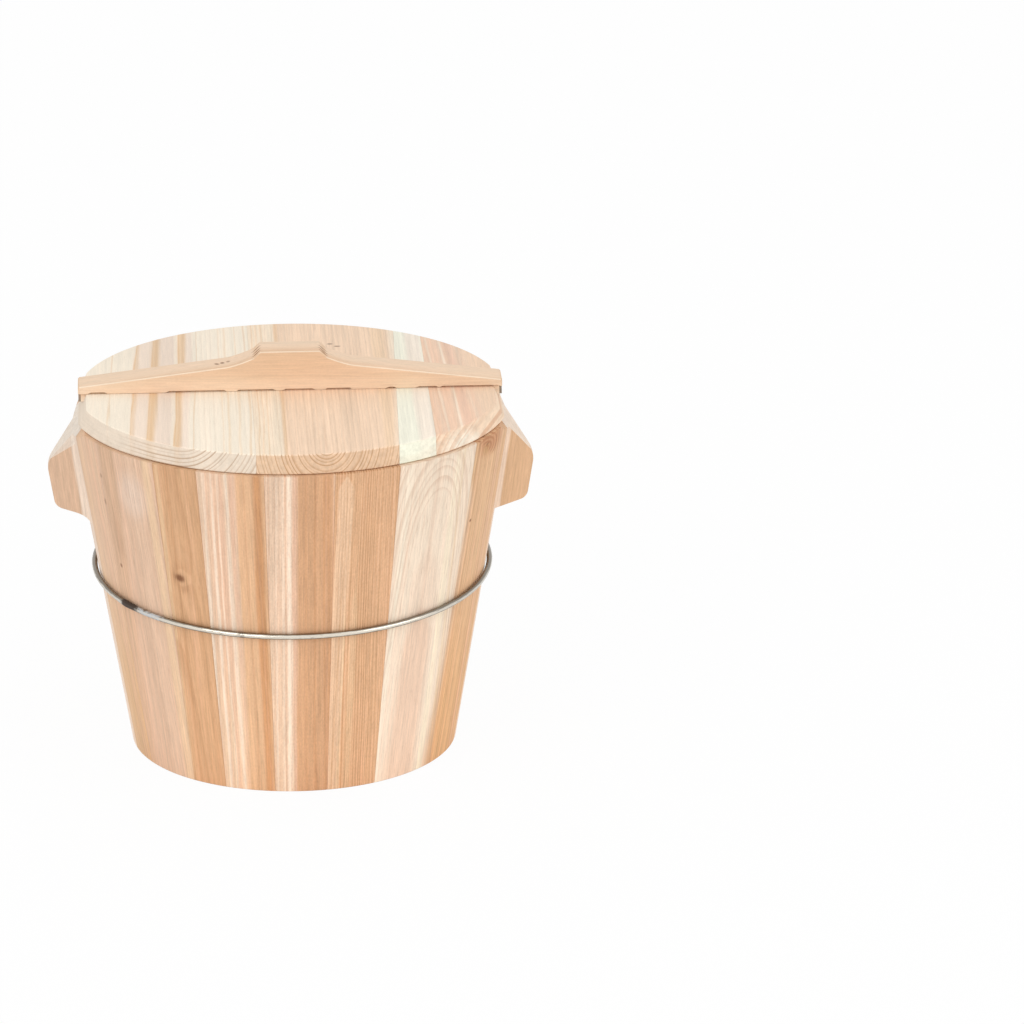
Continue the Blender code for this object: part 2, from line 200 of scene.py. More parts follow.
# what all the wood has in common
woodDetail = {
    "noiseRough": 0.55, "poreSpan": (0.54, 0.74),
    "plainSpan": (-0.045, -0.015),                # where ring lines fade out on the left of the pith
    "knotStretch": 1.5, "knotReach": 0.12,
    "ringWander": (120.0, 2.2), "lateStop": (1.0, 0.92), "lateVary": (0.8, 0.3),
    "coreSpan": (-0.0006, 0.0004), "heartBlur": (0.014, 0.003), "blushSpan": (0.44, 0.62),
    "footSpan": (0.05, -0.09), "footBlur": 0.06, "skirtSpan": (-0.0004, -0.0014), "chamferHighlightSpan": (0.22, 0.46),
    "bandWaver": (0.005, 0.004), "bandSoft": 0.0004,
    "spotRagged": 0.9, "spotSpan": (1.3, 0.35), "spotFacing": (0.15, 0.45),
    "whorlSquash": 0.6, "whorlSway": 0.004, "whorlLine": (0.25, 0.55), "whorlStop": (1.0, 0.75),
    "whorlFade": 0.7, "whorlOpen": (-0.003, 0.003),
    "endFibre": 0.6, "rough": (0.56, 0.14, 0.1, 0.06), "relief": (0.5, 0.35, 0.4),
    "bump": 0.2, "bumpDepth": 0.0003, "specular": 0.3,
}
# noise in the wood: scale along and across the grain, shift, detail
woodNoise = {
    "sway": (5.0, 22.0, 0.0, 2.0),      # slow bends of rings and strips
    "drift": (3.0, 60.0, 7.0, 2.0),     # broad changes of tone
    "streak": (6.0, 290.0, 33.0, 2.0),  # narrow ones
    "fibre": (45.0, 900.0, 13.0, 3.0),
    "pore": (110.0, 1500.0, 21.0, 1.0),
    "mottle": (480.0, 900.0, 17.0, 1.0),
}


def band(across, half, tint, share=0.6, lean=0.0, top=None, blur=0.35, arch=0.033, calm=0.0):
    # top is where the strip closes, arch the length it takes to, calm how far it quiets the ring lines
    return dict(locals())


def bands(tint, lean, *rows):  # strips of one tint and lean: across, half, share and, if wanted, blur
    return [band(across, half, tint, share, lean, None, *blur) for across, half, share, *blur in rows]


def spot(along, across, length, width, share, turn=0.0, tint=(116, 68, 36)):  # half sizes, on the outer face
    return dict(locals())


def lying(at, grain, across):  # origin and grain of a piece whose best face looks up
    return {"at": at, "grain": grain, "across": across, "depth": zAxis}


def woodFinish(name, place, look):
    look = {**woodBase, **woodDetail, **look}
    finish, start = newFinish(name)
    local = start.make("TexCoord", out=3).less(place["at"])
    along, across, depth = [local.dot(place[way]) for way in ("grain", "across", "depth")]
    normal = start.make("NewGeometry", out=1)
    seed = look["seed"]

    def noise(alongScale, acrossScale, shift, detail):
        point = {0: along * alongScale + (seed + shift), 1: across * acrossScale, 2: depth * acrossScale}
        point = start.make("CombineXYZ", {}, point)
        sockets = {"Vector": point, "Scale": 1.0, "Detail": detail, "Roughness": look["noiseRough"]}
        return start.make("TexNoise", {}, sockets)

    sway, drift, streak, fibre, pore, mottle = [noise(*row) for row in woodNoise.values()]
    pore = pore.step(*look["poreSpan"])

    # rings, bent round any knot
    bendFrom, bendRate = look["bend"]
    curve = start.math("MAXIMUM", along - bendFrom, 0.0)
    side = across - along * look["lean"][0] - look["pith"][0]
    lineShare = 1.0
    if look["leftSide"] < 1:
        lineShare = side.step(*look["plainSpan"]) * (1 - look["leftSide"]) + look["leftSide"]
        side = start.math("MAXIMUM", side, side * look["leftSide"])
    deep = depth - along * look["lean"][1] - look["pith"][1] + curve * curve * bendRate
    rho = (side * side + deep * deep) ** 0.5 + (sway - 0.5) * look["sway"]
    for knotAlong, knotAcross, size, swerve in look["knots"]:
        reach = ((along - knotAlong) / look["knotStretch"]) ** 2.0 + (across - knotAcross) ** 2.0
        rho = rho + start.math("EXPONENT", reach * (-look["knotReach"] / size ** 2)) * swerve
    wanderRate, wanderWidth = look["ringWander"]
    wander = {"W": rho * wanderRate + seed, "Scale": 1.0, "Detail": 1.0}
    wander = start.make("TexNoise", {"noise_dimensions": "1D"}, wander)
    growth = rho / look["ring"] + (wander - 0.5) * wanderWidth
    count = start.math("FLOOR", growth)
    phase = growth - count
    vary = start.make("TexWhiteNoise", {"noise_dimensions": "1D"}, {"W": count + seed})
    varyBy, varyFrom = look["lateVary"]
    late = phase.step(*look["lateSpan"]) * phase.step(*look["lateStop"]) * (vary * varyBy + varyFrom)
    if look["core"]:
        late = late * rho.step(*[look["core"] + edge for edge in look["coreSpan"]])

    # ground colour
    facing = normal.dot(place["grain"])
    endGrain = (start.math("ABSOLUTE", facing) if look["bothEnds"] else facing).step(*look["endSpan"])
    byDrift, byStreak = look["heartBlur"]
    heartness = (rho + (drift - 0.5) * byDrift + (streak - 0.5) * byStreak).step(*look["heartSpan"][::-1])
    paint = start.colour(look["early"]).mix(look["heart"], heartness)
    blush = (drift * 0.5 + streak * 0.5).step(*look["blushSpan"])
    paint = paint.mix(look["blush"], blush * look["blushing"])
    if look["footShare"]:
        foot = (along + (drift - 0.5) * look["footBlur"]).step(*look["footSpan"])
        paint = paint.mix(look["foot"], foot * look["footShare"])
    bySway, byStreak = look["bandWaver"]
    waver = (sway - 0.5) * bySway + (streak - 0.5) * byStreak
    for strip in look["bands"]:
        away = start.math("ABSOLUTE", across - along * strip["lean"] - strip["across"] + waver)
        half = strip["half"]
        if strip["top"]:
            room = start.math("MAXIMUM", 0.0, (strip["top"] - along) / strip["arch"])
            half = start.math("SQRT", room.step(0.0, 1.0)) * half
        soft = strip["half"] * strip["blur"] + look["bandSoft"]
        inside = (away - half).step(soft, -soft)
        paint = paint.mix(strip["tint"], inside * strip["share"])
        if strip["calm"]:
            lineShare = lineShare * (1.0 - inside * strip["calm"])
    if look["skirtShare"]:
        skirt = depth.step(*look["skirtSpan"])
        paint = paint.mix(look["skirt"], skirt * look["skirtShare"])
        endGrain = start.math("MAXIMUM", endGrain, skirt)
    else:
        paint = paint.mix(look["endTone"], endGrain * look["endShare"])

    # marks and lines over it
    for mark in look["spots"]:
        away, over = along - mark["along"], across - mark["across"]
        cosine, sine = math.cos(mark["turn"]), math.sin(mark["turn"])
        stretch = (away * cosine + over * sine) / mark["length"]
        spread = (over * cosine - away * sine) / mark["width"]
        reach = start.math("SQRT", stretch * stretch + spread * spread) + (fibre - 0.5) * look["spotRagged"]
        outer = normal.dot(place["depth"]).step(*look["spotFacing"])
        paint = paint.mix(mark["tint"], reach.step(*look["spotSpan"]) * outer * mark["share"])
    lines = late * look["contrast"] * (endGrain * look["endLines"] + 1.0) * lineShare
    paint = paint.mix(look["late"], lines)
    for eyeAlong, eyeAcross, spacing, reach, share in look["whorls"]:
        away, over = along - eyeAlong, (across - eyeAcross) * look["whorlSquash"]
        span = start.math("SQRT", away * away + over * over) + (sway - 0.5) * look["whorlSway"]
        turn = start.math("FRACT", span / spacing)
        arcs = turn.step(*look["whorlLine"]) * turn.step(*look["whorlStop"])
        arcs = arcs * span.step(reach, reach * look["whorlFade"])
        paint = paint.mix(look["late"], arcs * (away + over).step(*look["whorlOpen"]) * share)
    paint = paint.mix(look["late"], pore * look["pore"])
    # painted highlight: a paler tone on rounded edges that slope between the side and top faces
    if look["chamferHighlightShare"]:
        slope = start.math("ABSOLUTE", normal.dot(place["across"]) * normal.dot(place["depth"]))
        paint = paint.mix(look["chamferHighlight"], slope.step(*look["chamferHighlightSpan"]) * look["chamferHighlightShare"])
    shade = (fibre - 0.5) * (1.0 - endGrain * look["endFibre"]) * look["fibre"]
    shade = shade + (mottle - 0.5) * look["mottle"]
    shade = shade + (drift - 0.5) * look["drift"] + (streak - 0.5) * look["streak"] + 1.0
    # painted shade: the colour darkens further up the grain
    paint = paint.scaled(shade - along * look["paintedShadeUp"])

    base, byFibre, byEnd, byLate = look["rough"]
    rough = base + fibre * byFibre + endGrain * byEnd - late * byLate
    byFibre, byLate, byPore = look["relief"]
    height = fibre * byFibre + late * byLate - pore * byPore
    bump = {"Strength": look["bump"], "Distance": look["bumpDepth"], "Height": height}
    bump = start.make("Bump", {}, bump)
    sockets = {"Base Color": paint, "Roughness": rough, "Normal": bump}
    closeFinish(start, {**sockets, "Specular IOR Level": look["specular"]})
    return finish


# mesh helpers
def setOut(name, data):  # puts an object in the scene
    thing = bpy.data.objects.new(name, data)
    bpy.context.scene.collection.objects.link(thing)
    return thing


def meshOf(name, shape):  # uses the bmesh up
    bmesh.ops.recalc_face_normals(shape, faces=shape.faces)
    mesh = bpy.data.meshes.new(name)
    shape.to_mesh(mesh)
    shape.free()
    return mesh


def addPiece(name, shape, finish, node, crisp):
    piece = setOut(name, meshOf(name, shape))
    piece.data.shade_smooth()
    piece.data.set_sharp_from_angle(angle=math.radians(crisp))
    piece.data.materials.append(finish)
    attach(piece, bodyOf[node])
    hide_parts(node)
    return piece


def loft(rings, closed=False):  # skin between rings of points, with flat ends unless closed
    shape = bmesh.new()
    made = [[shape.verts.new(point) for point in ring] for ring in rings]
    following = made[1:] + made[:1] if closed else made[1:]
    for ring, after in zip(made, following):
        for i in range(len(ring)):
            j = (i + 1) % len(ring)
            shape.faces.new((ring[i], ring[j], after[j], after[i]))
    if not closed:
        shape.faces.new(made[0][::-1])
        shape.faces.new(made[-1])
    bmesh.ops.recalc_face_normals(shape, faces=shape.faces)
    return shape


def saw(shape, point, outward):  # cut on a plane, drop what is beyond it, close the sawn face
    geom = shape.verts[:] + shape.edges[:] + shape.faces[:]
    cut = bmesh.ops.bisect_plane(shape, geom=geom, plane_co=point, plane_no=outward, clear_outer=True)
    bmesh.ops.holes_fill(shape, edges=[e for e in cut["geom_cut"] if isinstance(e, bmesh.types.BMEdge)])


def joined(shape, tool, operation):  # boolean of two bmeshes, as a new bmesh
    things = [setOut("blank", meshOf("blank", part)) for part in (shape, tool)]
    cut = things[0].modifiers.new("cut", "BOOLEAN")
    cut.operation = operation
    cut.solver = "EXACT"
    cut.object = things[1]
    graph = bpy.context.evaluated_depsgraph_get()
    result = bmesh.new()
    result.from_mesh(things[0].evaluated_get(graph).to_mesh())
    for thing in things:
        bpy.data.objects.remove(thing)
    return result


def corner(size, steps=3):  # quarter round as (in from the face, in from the end)
    turns = [math.pi / 2 * i / steps for i in range(steps + 1)]
    return [(size * (1 - math.sin(t)), size * (1 - math.cos(t))) for t in turns]


# staves: angles of the joints, and the wood of each, left to right
frontJoints = (-77.0, -62.5, -39.1, -26.2, -8.3, 9.7, 27.3, 54.0, 77.0)
backJoints = (103.0, 123.0, 141.5, 160.0, 179.0, 198.0, 217.5, 237.0, 257.0)
cream = (248, 228, 206)
yolk = (238, 206, 166)
pink = (226, 182, 154)
tan = (218, 170, 126)
brown = (198, 142, 98)
handleWood = {"pith": (0.0, 0.06), "ring": 0.0034, "streak": 0.26, "pore": 0.12, "blushing": 0.1,
              "endShare": 0.9, "endLines": 0.3, "bothEnds": False}
staveWood = {
    "front_stave_1": {"heart": (225, 190, 160), "late": (206, 162, 124), "heartSpan": (0.09, 0.1),
        "paintedShadeUp": 0.05, "pith": (0.07, -0.02), "ring": 0.0034, "contrast": 0.18, "streak": 0.3,
        "foot": (225, 180, 128), "footShare": 0.6,
        "bands": (band(-0.01, 0.005, yolk, 0.25), band(0.009, 0.004, pink, 0.25))},
    "front_stave_2": {"heart": (224, 189, 161), "late": (204, 158, 126), "heartSpan": (0.09, 0.1),
        "pith": (-0.06, -0.012), "ring": 0.0042, "contrast": 0.16, "streak": 0.36,
        "bands": (band(-0.021, 0.009, (212, 172, 136), 0.5, 0.03), band(0.012, 0.006, (234, 200, 172), 0.5),
            band(0.024, 0.0038, yolk, 0.55, 0.02)),
        "spots": (spot(0.034, -0.0207, 0.0019, 0.0015, 0.75), spot(0.058, -0.018, 0.022, 0.0055, 0.16),
            spot(0.098, 0.008, 0.02, 0.016, 0.45, 0.0, (240, 220, 204)),
            spot(0.083, -0.029, 0.0026, 0.0014, 0.4), spot(0.104, -0.029, 0.0018, 0.0014, 0.4))},
    "front_stave_3": {"heart": (221, 174, 132), "late": (188, 136, 94), "heartSpan": (0.08, 0.09),
        "pith": (-0.01, -0.034), "lean": (0.03, -0.03), "ring": 0.003, "contrast": 0.34, "paintedShadeUp": 0.75,
        "knots": ((0.04, -0.0054, 0.0034, 0.0044),),
        "bands": (band(-0.0152, 0.002, yolk, 0.5), band(-0.007, 0.0011, brown, 0.3)),
        "spots": (spot(0.04, -0.0054, 0.005, 0.007, 0.25),
            spot(0.04, -0.005, 0.0032, 0.0044, 0.8, 0.2), spot(0.0325, -0.001, 0.005, 0.003, 0.2, 0.5))},
    "front_stave_4": {"early": (237, 204, 175), "late": (222, 172, 138), "pith": (0.072, -0.016),
        "ring": 0.0044, "contrast": 0.3, "paintedShadeUp": 0.62, "blush": pink, "blushing": 0.5, "mottle": 0.2,
        "foot": (244, 214, 174), "footShare": 0.3,
        "bands": (*bands(cream, 0.0, (-0.0205, 0.0013, 0.7), (-0.014, 0.001, 0.7), (-0.0095, 0.0006, 0.6),
                (-0.0035, 0.001, 0.7)),
            band(-0.007, 0.0014, pink, 0.5), band(0.0005, 0.0014, pink, 0.4),
            band(0.013, 0.0108, (226, 180, 137), 0.85, 0.02, None, 0.15),
            band(0.0172, 0.0029, (204, 146, 98), 0.8, 0.02), band(0.0085, 0.0007, brown, 0.25, 0.02))},
    "front_stave_5": {"early": (235, 203, 175), "late": (212, 162, 128), "pith": (0.074, -0.012),
        "ring": 0.0026, "contrast": 0.44, "blushing": 0.15, "mottle": 0.3, "foot": (240, 208, 168),
        "footShare": 0.2,
        "bands": (band(-0.017, 0.0008, cream, 0.5), band(-0.012, 0.0012, cream, 0.4),
            band(-0.008, 0.0018, cream, 0.7, 0.004), band(-0.0043, 0.0013, pink, 0.7, 0.004),
            band(0.0105, 0.0132, (216, 167, 125), 0.95, 0.004, None, 0.08),
            *bands(brown, 0.0, (0.004, 0.001, 0.25), (0.01, 0.0009, 0.45), (0.017, 0.001, 0.45),
                (0.02, 0.0012, 0.4)))},
    "front_stave_6": {"heart": (228, 182, 141), "late": (192, 138, 96), "heartSpan": (0.09, 0.1),
        "pith": (-0.04, -0.01), "lean": (-0.02, 0.0), "ring": 0.0019, "contrast": 0.68, "mottle": 0.3,
        "bands": (band(-0.0166, 0.0056, (236, 198, 163), 0.9, 0.0, 0.1285, 0.12, 0.014, 0.6),
            band(-0.016, 0.0007, tan, 0.4, 0.0, 0.06), band(-0.0118, 0.001, yolk, 0.5, 0.0, 0.03),
            band(-0.005, 0.0024, yolk, 0.35, 0.0, 0.04))},
    "front_stave_7": {"early": (247, 227, 204), "late": (206, 168, 140), "pith": (-0.001, -0.031),
        "lean": (0.02, -0.03), "bend": (0.06, 1.7), "ring": 0.0022, "contrast": 0.44,
        "lateSpan": (0.4, 0.85), "core": 0.0376, "sway": 0.001, "drift": 0.14, "streak": 0.24,
        "blushing": 0.15,
        "bands": (band(-0.004, 0.0125, (238, 208, 184), 0.4, 0.022, 0.06),
            band(-0.004, 0.012, (236, 200, 173), 0.65, 0.022, 0.01),
            band(-0.028, 0.0024, (252, 240, 218), 0.5), band(0.016, 0.003, (251, 236, 208), 0.6, 0.02),
            band(0.024, 0.0016, (240, 216, 180), 0.5), band(0.053, 0.02, tan, 0.9, 0.115))},
    "front_stave_8": {"heart": (233, 191, 148), "late": (176, 112, 72), "heartSpan": (0.09, 0.1),
        "foot": (228, 172, 108), "footShare": 0.45, "pith": (0.03, -0.05), "ring": 0.0028,
        "contrast": 0.36, "whorls": ((0.1215, -0.0165, 0.003, 0.015, 0.55),),
        "bands": (band(-0.049, 0.02, cream, 0.85, 0.0, 0.115), band(0.012, 0.004, pink, 0.3)),
        "spots": (spot(0.066, -0.0235, 0.0014, 0.0014, 0.85),
            spot(0.126, -0.009, 0.013, 0.023, 0.55, 0.1, (196, 130, 86)),
            spot(0.1205, -0.016, 0.005, 0.0056, 0.55, 0.0, (206, 164, 112)),
            spot(0.1245, -0.015, 0.0009, 0.003, 0.6, -0.2, (124, 84, 50)))},
    # handle staves: the pale endTone, only on faces that look up the grain, paints a highlight on the lug
    # tops
    "left_handle_stave": {**handleWood, "early": (240, 218, 198), "heart": (218, 182, 152),
        "late": (206, 164, 132), "heartSpan": (0.0605, 0.0632), "contrast": 0.08,
        "endTone": (239, 228, 214), "endSpan": (0.1, 0.7)},
    "right_handle_stave": {**handleWood, "early": (244, 214, 188), "heart": (223, 180, 139),
        "late": (204, 156, 116), "heartSpan": (0.0622, 0.0644), "contrast": 0.1,
        "endTone": (246, 228, 210), "endSpan": (0.3, 0.7)},
}
# staves at the back take the front ones' wood in another order, with the pith moved a little
backWood = {"order": (6, 4, 3, 7, 2, 8, 5, 1), "pithPlay": 0.01, "draw": 4}
staveFade = 0.5  # painted shade: staves darken upwards, unless their own wood says how much
seedStep = {"stave": 3.7, "grate": 2.3, "bamboo": 1.9}


def staveAngles():
    rows = {}
    for word, joints in (("front", frontJoints), ("back", backJoints)):
        for number, ends in enumerate(zip(joints, joints[1:]), 1):
            rows["%s_stave_%d" % (word, number)] = ends
    half = bucket["handleHalf"]
    rows["left_handle_stave"] = (-90 - half, -90 + half)
    rows["right_handle_stave"] = (90 - half, 90 + half)
    return rows


def stavePlace(start, end):  # grain up the middle of the stave, measured from its outer face at mid-height
    middle = (start + end) / 2
    outward = polar(middle, 1.0, 0.0)
    half = bucket["height"] / 2
    return {
        "at": polar(middle, wallRadius(half), half),
        "grain": (outward * wallSlope + zAxis).normalized(),
        "across": polar(middle + 90, 1.0, 0.0),
        "depth": (outward - zAxis * wallSlope).normalized(),
    }


def staveShape(start, end):
    height, nip, rows = bucket["height"], bucket["jointEase"], bucket["rows"]
    base = [(z, inset) for inset, z in corner(bucket["ease"])]
    middle = [(height * i / rows, 0.0) for i in range(1, rows)]
    rim = [(height - z, inset) for z, inset in base[::-1]]
    count = round((end - start) / bucket["arcStep"])
    rings = []
    for z, inset in base + middle + rim:
        ring = []
        outer, inner = wallRadius(z) - inset, wallRadius(z) - bucket["wall"] + inset
        for radius, way in ((outer, 1), (inner, -1)):
            gap = math.degrees(bucket["jointGap"] / 2 / radius)
            turn = math.degrees(nip / radius)
            points = [polar(start + gap, radius - nip * way, z)]
            low, high = start + gap + turn, end - gap - turn
            points += [polar(low + (high - low) * i / count, radius, z) for i in range(count + 1)]
            points.append(polar(end - gap, radius - nip * way, z))
            ring += points[::way]
        rings.append(ring)
    return loft(rings)


# carved lugs: side view as distance from the axis and height, and the plane that tapers each flank
lug = {
    "brow": (0.1786, 0.2192), "nose": (0.1787, 0.213), "chin": (0.1745, 0.1885), "foot": 0.1843,
    "topFall": 1.373, "rootTop": 0.252, "rootLap": 0.0001, "rootDepth": 0.008, "reach": 0.036,
    "browRound": 0.016, "chinRound": 0.0055, "rounding": 0.0034, "roundSteps": 4, "clear": 0.0003,
    "crisp": 0.4,                        # edges sharper than this, in radians, are rounded
    "throat": {-1: 0.009, 1: 0.0015},    # hollow between underside and wall, left and right
    "throatSteps": 7, "heelDrop": 0.006, "heelDepth": 0.0012, "stations": 6,
    "facet": {-1: 0.0105, 1: 0.0},       # how far the top cut is taken down over the flanks
    "facetIn": 0.8,
    "flank": ((0.1545, 0.03, 0.2528), (0.1785, 0.004, 0.22), (0.1546, 0.024, 0.1843)),
}


def cutTop(shape, side):  # one sloping cut makes the top of the lug and runs on through the rim
    radius, height = lug["brow"]
    saw(shape, (side * radius, 0, height), (side * lug["topFall"], 0, 1))


def rounded(before, tip, after, radius, steps=6):  # corner of an outline as an arc between its two sides
    inward, outward = (before - tip).normalized(), (after - tip).normalized()
    half = inward.angle(outward) / 2
    centre = tip + (inward + outward).normalized() * radius / math.sin(half)
    start = tip + inward * radius / math.tan(half) - centre
    end = tip + outward * radius / math.tan(half) - centre
    return [centre + start.lerp(end, i / steps).normalized() * radius for i in range(steps + 1)]


def lugOutline(side):  # side view: what shows, what lies against the wall, and the wall's radius there
    low, throat, steps = lug["foot"], lug["throat"][side], lug["throatSteps"]
    brow, nose, chin = [Vector(lug[name]) for name in ("brow", "nose", "chin")]
    rootReach = brow.x - (lug["rootTop"] - brow.y) / lug["topFall"] - lug["rootLap"]
    root = Vector((rootReach, lug["rootTop"]))
    down = (chin - nose) / (nose.y - chin.y)  # line of the nose, per metre of fall
    fall = (brow.y - nose.y - lug["topFall"] * (nose.x - brow.x)) / (lug["topFall"] * down.x - 1)
    peak = nose + down * fall                 # where the line of the nose meets the top cut
    sole = chin + down * (chin.y - low)       # and where it meets the underside
    bend = Vector((wallRadius(low), low))
    ends = bend + Vector((throat, 0)), Vector((wallRadius(low - throat), low - throat))
    shares = [i / steps for i in range(steps + 1)]
    hollow = [ends[0].lerp(bend, t).lerp(bend.lerp(ends[1], t), t) for t in shares]
    heelTop = low - throat - lug["heelDrop"]
    heel = Vector((wallRadius(heelTop) - lug["heelDepth"], heelTop))
    outer = [root, *rounded(root, peak, sole, lug["browRound"])]
    outer += rounded(peak, sole, ends[0], lug["chinRound"])
    return outer, [*hollow, heel, heel - Vector((lug["rootDepth"], 0))], bend.x


def lugShape(side):
    outer, under, wall = lugOutline(side)
    sections = []
    for i in range(-lug["stations"], lug["stations"] + 1):
        y = lug["reach"] * i / lug["stations"]
        turned = wall - math.sqrt(wall ** 2 - y ** 2)  # the wall falls back to either side
        sections.append([(x, y, z) for x, z in outer] + [(x - turned, y, z) for x, z in under])
    shape = loft(sections)
    root, brow, throat = [Vector(point) for point in lug["flank"]]  # where it starts, ends and goes under
    normal = (brow - root).cross(throat - root).normalized()
    jointNormal = polar(180 + bucket["handleHalf"], 1.0, 0.0)
    facet = lug["facet"][side]
    for flank in (1, -1):
        mirror = Vector((1, flank, 1))
        saw(shape, root * mirror, normal * mirror)
        saw(shape, jointNormal * mirror * -lug["clear"], jointNormal * mirror)
        if facet:
            inner = root - Vector((0, facet * lug["facetIn"], 0))
            lower = root + (throat - root).normalized() * facet
            saw(shape, brow * mirror, (brow - inner).cross(lower - inner) * mirror)
    sharp = [edge for edge in shape.edges if edge.calc_face_angle(0.0) > lug["crisp"]]
    bmesh.ops.bevel(shape, geom=sharp, offset=lug["rounding"], segments=lug["roundSteps"], profile=0.5,
                    affect="EDGES", clamp_overlap=True)
    if side < 0:
        bmesh.ops.rotate(shape, verts=shape.verts, matrix=Matrix.Rotation(math.pi, 3, "Z"))
    return shape


def makeStaves():
    draw = random.Random(backWood["draw"])
    play = backWood["pithPlay"]
    spare = [staveWood["front_stave_%d" % i] for i in backWood["order"]]
    for number, (name, (start, end)) in enumerate(staveAngles().items()):
        look = {"paintedShadeUp": staveFade, **(staveWood.get(name) or spare[number % len(spare)])}
        if name.startswith("back"):
            look["knots"], look["spots"] = (), ()
            look["pith"] = (look["pith"][0] + draw.uniform(-play, play), look["pith"][1])
        look["seed"] = number * seedStep["stave"]
        finish = woodFinish(name + "_wood", stavePlace(start, end), look)
        shape = staveShape(start, end)
        for side in (-1, 1):
            cutTop(shape, side)
        if "handle" in name:
            shape = joined(shape, lugShape(-1 if "left" in name else 1), "UNION")
        addPiece(name + "_shaped", shape, finish, name, bucket["crisp"])
    print("staves: %d" % len(staveAngles()))


makeStaves()

# steel hoop: bright drawn wire, lower at the front, blackened at the weld and scraped clean beside it
hoop = {
    "frontHeight": 0.1295, "tilt": 3.4, "sidePlay": 0.0001, "wire": 0.0021, "clear": 0.0003,
    "steps": 360, "sides": 20, "crisp": 60.0,
    "weld": -57.0, "weldHalf": 3.0, "swell": 0.0003,
    "steel": (228, 220, 206), "worn": (190, 186, 178), "shadeAndGrimeTone": (104, 94, 82),
    "scale": (58, 42, 32), "bare": (206, 210, 214),
    "burnt": (-58.6, -51.9, 0.7), "scraped": (-51.9, -41.0, 0.8), "nick": (-16.4, -15.0, 0.5),
    "wobble": 3.0,  # stretches above: from, to and blur, in degrees
    "drawnScale": (0.35, 2.6, 0.02), "blotchScale": 260.0, "rubScale": 0.22,
    "sideGreySpan": (20.0, 62.0), "sideGreyShare": 0.5,  # greyer between these angles, in degrees from the front
    # painted shade and dark reflection: bands above and below the outer side of the wire, in radians round
    # it
    "paintedShadeAbove": (0.6, 1.0), "paintedShadeBelow": (-0.15, -0.6), "paintedShadeWaver": 0.8, "paintedShadeSideLift": 0.3,
    "patchSpan": (0.54, 0.72), "rubSpan": (0.42, 0.6), "shadeAndGrimeShare": 0.8,
    "bareSpan": (0.35, 0.6), "bareShare": 0.8, "burntShare": 0.95, "nickSpan": (0.4, 0.6), "nickShare": 0.6,
    "rough": (0.16, 0.14, 0.4, 0.2), "burntMetal": 0.6, "bump": 0.25, "bumpDepth": 0.0002,
}


def hoopPlace():  # radius of the ring, and the frame it lies in
    tilt = math.radians(hoop["tilt"])
    front = wallRadius(hoop["frontHeight"]) + (hoop["wire"] + hoop["clear"]) / math.cos(math.atan(wallSlope))
    reach = front / (math.cos(tilt) - wallSlope * math.sin(tilt))
    centre = Vector((0, reach * math.cos(tilt) - front, hoop["frontHeight"] + reach * math.sin(tilt)))
    return reach, Matrix.Translation(centre) @ Matrix.Rotation(tilt, 4, "X")


def steelFinish():
    finish, start = newFinish("drawnWire")
    reach, place = hoopPlace()
    here = start.make("TexCoord", out=3)
    local = here.less(place.translation)
    wide, back, lift = [local.dot(place.col[i].to_3d()) for i in range(3)]
    turn = start.math("ARCTAN2", wide, 0.0 - back)
    out = start.math("SQRT", wide * wide + back * back) - reach
    out = out - start.math("SINE", turn) ** 2.0 * hoop["sidePlay"]
    girth = start.math("ARCTAN2", lift, out)  # 0 on the outer side of the wire, positive above
    turn = turn * (180 / math.pi)
    byTurn, byGirth, slow = hoop["drawnScale"]
    drawn = start.make("CombineXYZ", {}, {0: turn * byTurn, 1: girth * byGirth, 2: turn * slow})
    drawn = start.make("TexNoise", {}, {"Vector": drawn, "Scale": 1.0, "Detail": 4.0})
    blotch = start.make("TexNoise", {}, {"Vector": here, "Scale": hoop["blotchScale"], "Detail": 3.0})
    rub = {"W": turn * hoop["rubScale"], "Scale": 1.0, "Detail": 2.0}
    rub = start.make("TexNoise", {"noise_dimensions": "1D"}, rub)

    def stretch(name):
        low, high, soft = hoop[name]
        wobble = turn + (blotch - 0.5) * hoop["wobble"]
        return wobble.step(low - soft, low + soft) * wobble.step(high + soft, high - soft)

    burnt, scraped, nick = [stretch(name) for name in ("burnt", "scraped", "nick")]
    # greyer towards the sides of the hoop, away from the front
    worn = start.math("ABSOLUTE", turn).step(*hoop["sideGreySpan"])
    # painted shade and dark reflection along the wire's upper and lower edges, with grime patches from the
    # noise added
    lean = girth + (drawn - 0.5) * hoop["paintedShadeWaver"]
    grime = (lean + worn * hoop["paintedShadeSideLift"]).step(*hoop["paintedShadeAbove"])
    grime = start.math("MAXIMUM", grime, lean.step(*hoop["paintedShadeBelow"]))
    grime = start.math("MAXIMUM", grime, drawn.step(*hoop["patchSpan"]) * rub.step(*hoop["rubSpan"]))
    paint = start.colour(hoop["steel"]).mix(hoop["worn"], worn * hoop["sideGreyShare"])
    paint = paint.mix(hoop["shadeAndGrimeTone"], grime * hoop["shadeAndGrimeShare"])
    paint = paint.mix(hoop["bare"], scraped * blotch.step(*hoop["bareSpan"]) * hoop["bareShare"])
    scale = nick * blotch.step(*hoop["nickSpan"]) * hoop["nickShare"]
    scale = start.math("MAXIMUM", burnt * hoop["burntShare"], scale)
    paint = paint.mix(hoop["scale"], scale)
    base, byDrawn, byBurnt, byScraped = hoop["rough"]
    rough = base + drawn * byDrawn + burnt * byBurnt + scraped * byScraped
    height = drawn + blotch * (burnt + scraped)
    bump = {"Strength": hoop["bump"], "Distance": hoop["bumpDepth"], "Height": height}
    bump = start.make("Bump", {}, bump)
    metal = 1.0 - burnt * hoop["burntMetal"]
    closeFinish(start, {"Base Color": paint, "Roughness": rough, "Metallic": metal, "Normal": bump})
    return finish


